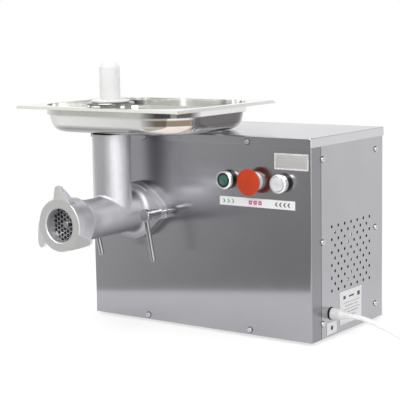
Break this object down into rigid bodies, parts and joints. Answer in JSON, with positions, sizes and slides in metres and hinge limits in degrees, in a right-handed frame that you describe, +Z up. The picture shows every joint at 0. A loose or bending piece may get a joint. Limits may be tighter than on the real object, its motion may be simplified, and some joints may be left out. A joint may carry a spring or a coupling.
{
  "type": "electric meat grinder",
  "caption": "Table-top electric meat grinder: stainless box with push buttons, cast head with ring nut and perforated plate, feed tray, pusher and mains lead.",
  "frame": {"origin": "on the surface that the grinder stands on, under the middle of the box round everything but the lead", "axes": "+X right along the front, +Y from front to back, +Z up; the worm's axis runs along -Y"},
  "size_m": [0.7285, 0.4349, 0.43],
  "materials": {
    "stainless": "brushed",
    "zinc_steel": "satin",
    "screw_steel": "satin",
    "cast_aluminium": "satin",
    "machine_steel": "machined",
    "bronze": "satin",
    "motor_paint": "satin",
    "black_plastic": "satin",
    "grey_plastic": "satin",
    "rubber": "matte",
    "chrome": "polished",
    "polished_steel": "polished",
    "white_plastic": "gloss",
    "white_lead": "satin",
    "pin_brass": "polished",
    "green_plastic": "gloss",
    "red_plastic": "satin",
    "white_label": "satin",
    "silver_label": "satin"
  },
  "bodies": {
    "base": {"front_panel": "stainless", "right_cover": "stainless", "left_cover": "stainless", "back_panel": "stainless", "lid": "stainless", "base_plate": "zinc_steel", "corner_posts": "zinc_steel", "motor_bracket": "zinc_steel", "housing_screws": "screw_steel", "clamp_studs": "screw_steel", "clamp_washers": "screw_steel", "plate_key": "screw_steel", "head_casting": "cast_aluminium", "head_mount": "cast_aluminium", "gearbox_case": "cast_aluminium", "gearbox_cover": "cast_aluminium", "motor_end_caps": "cast_aluminium", "ball_bearings": "machine_steel", "grinding_plate": "machine_steel", "worm_bush": "bronze", "motor_stator": "motor_paint", "contactor": "black_plastic", "cord_gland": "black_plastic", "button_collars": "black_plastic", "button_blocks": "black_plastic", "run_capacitor": "grey_plastic", "terminal_block": "grey_plastic", "rubber_feet": "rubber", "tray_rests": "rubber", "drive_belt": "rubber", "button_bezels": "chrome", "cord_boot": "white_plastic", "plug_body": "white_plastic", "power_cord": "white_lead", "cord_coil": "white_lead", "plug_pins": "pin_brass", "label_strip": "white_label", "side_labels": "white_label", "badge_plate": "silver_label"},
    "drive_line": {"worm": "machine_steel", "knife": "machine_steel", "output_shaft": "machine_steel", "output_gear": "machine_steel"},
    "lay_line": {"lay_shaft": "machine_steel", "large_pulley": "machine_steel"},
    "motor_rotor": {"motor_shaft": "machine_steel", "motor_pulley": "machine_steel", "motor_fan": "black_plastic"},
    "ring_nut": {"ring_nut": "cast_aluminium"},
    "lever_left": {"lever_left": "chrome"},
    "lever_right": {"lever_right": "chrome"},
    "start_button": {"start_button": "green_plastic"},
    "stop_button": {"stop_button": "red_plastic"},
    "reverse_button": {"reverse_button": "white_plastic"},
    "tray": {"tray": "polished_steel", "tray_neck": "polished_steel", "safety_ring": "polished_steel"},
    "pusher": {"pusher": "white_plastic"}
  },
  "joints": [
    {"name": "worm_spin", "type": "hinge", "parent": "base", "child": "drive_line", "pos_m": [-0.09245, -0.0165, 0.1865], "axis": [0, -1, 0], "continuous": true},
    {"name": "lay_shaft_spin", "type": "hinge", "parent": "base", "child": "lay_line", "pos_m": [-0.01245, -0.0165, 0.1865], "axis": [0, -1, 0], "continuous": true},
    {"name": "motor_spin", "type": "hinge", "parent": "base", "child": "motor_rotor", "pos_m": [0.13455, -0.0165, 0.0955], "axis": [0, -1, 0], "continuous": true},
    {"name": "ring_nut_turn", "type": "hinge", "parent": "base", "child": "ring_nut", "pos_m": [-0.09245, -0.0165, 0.1865], "axis": [0, -1, 0], "range_deg": [0, 720]},
    {"name": "lever_left_turn", "type": "hinge", "parent": "base", "child": "lever_left", "pos_m": [-0.14695, -0.0165, 0.1865], "axis": [0, -1, 0], "range_deg": [-200, 26]},
    {"name": "lever_right_turn", "type": "hinge", "parent": "base", "child": "lever_right", "pos_m": [-0.03795, -0.0165, 0.1865], "axis": [0, -1, 0], "range_deg": [-50, 182]},
    {"name": "start_press", "type": "slide", "parent": "base", "child": "start_button", "axis": [0, 1, 0], "range_m": [0, 0.004], "stiffness_N_per_m": 600, "springref_m": -0.003},
    {"name": "stop_press", "type": "slide", "parent": "base", "child": "stop_button", "axis": [0, 1, 0], "range_m": [0, 0.004], "stiffness_N_per_m": 600, "springref_m": -0.003},
    {"name": "reverse_press", "type": "slide", "parent": "base", "child": "reverse_button", "axis": [0, 1, 0], "range_m": [0, 0.004], "stiffness_N_per_m": 600, "springref_m": -0.003},
    {"name": "tray_lift", "type": "slide", "parent": "base", "child": "tray", "axis": [0, 0, 1], "range_m": [0, 0.06]},
    {"name": "pusher_lift", "type": "slide", "parent": "tray", "child": "pusher", "axis": [0, 0, 1], "range_m": [0, 0.16]}
  ],
  "couplings": [
    {"joint": "lay_shaft_spin", "follows": "worm_spin", "ratio": -4},
    {"joint": "motor_spin", "follows": "worm_spin", "ratio": -11.2}
  ]
}
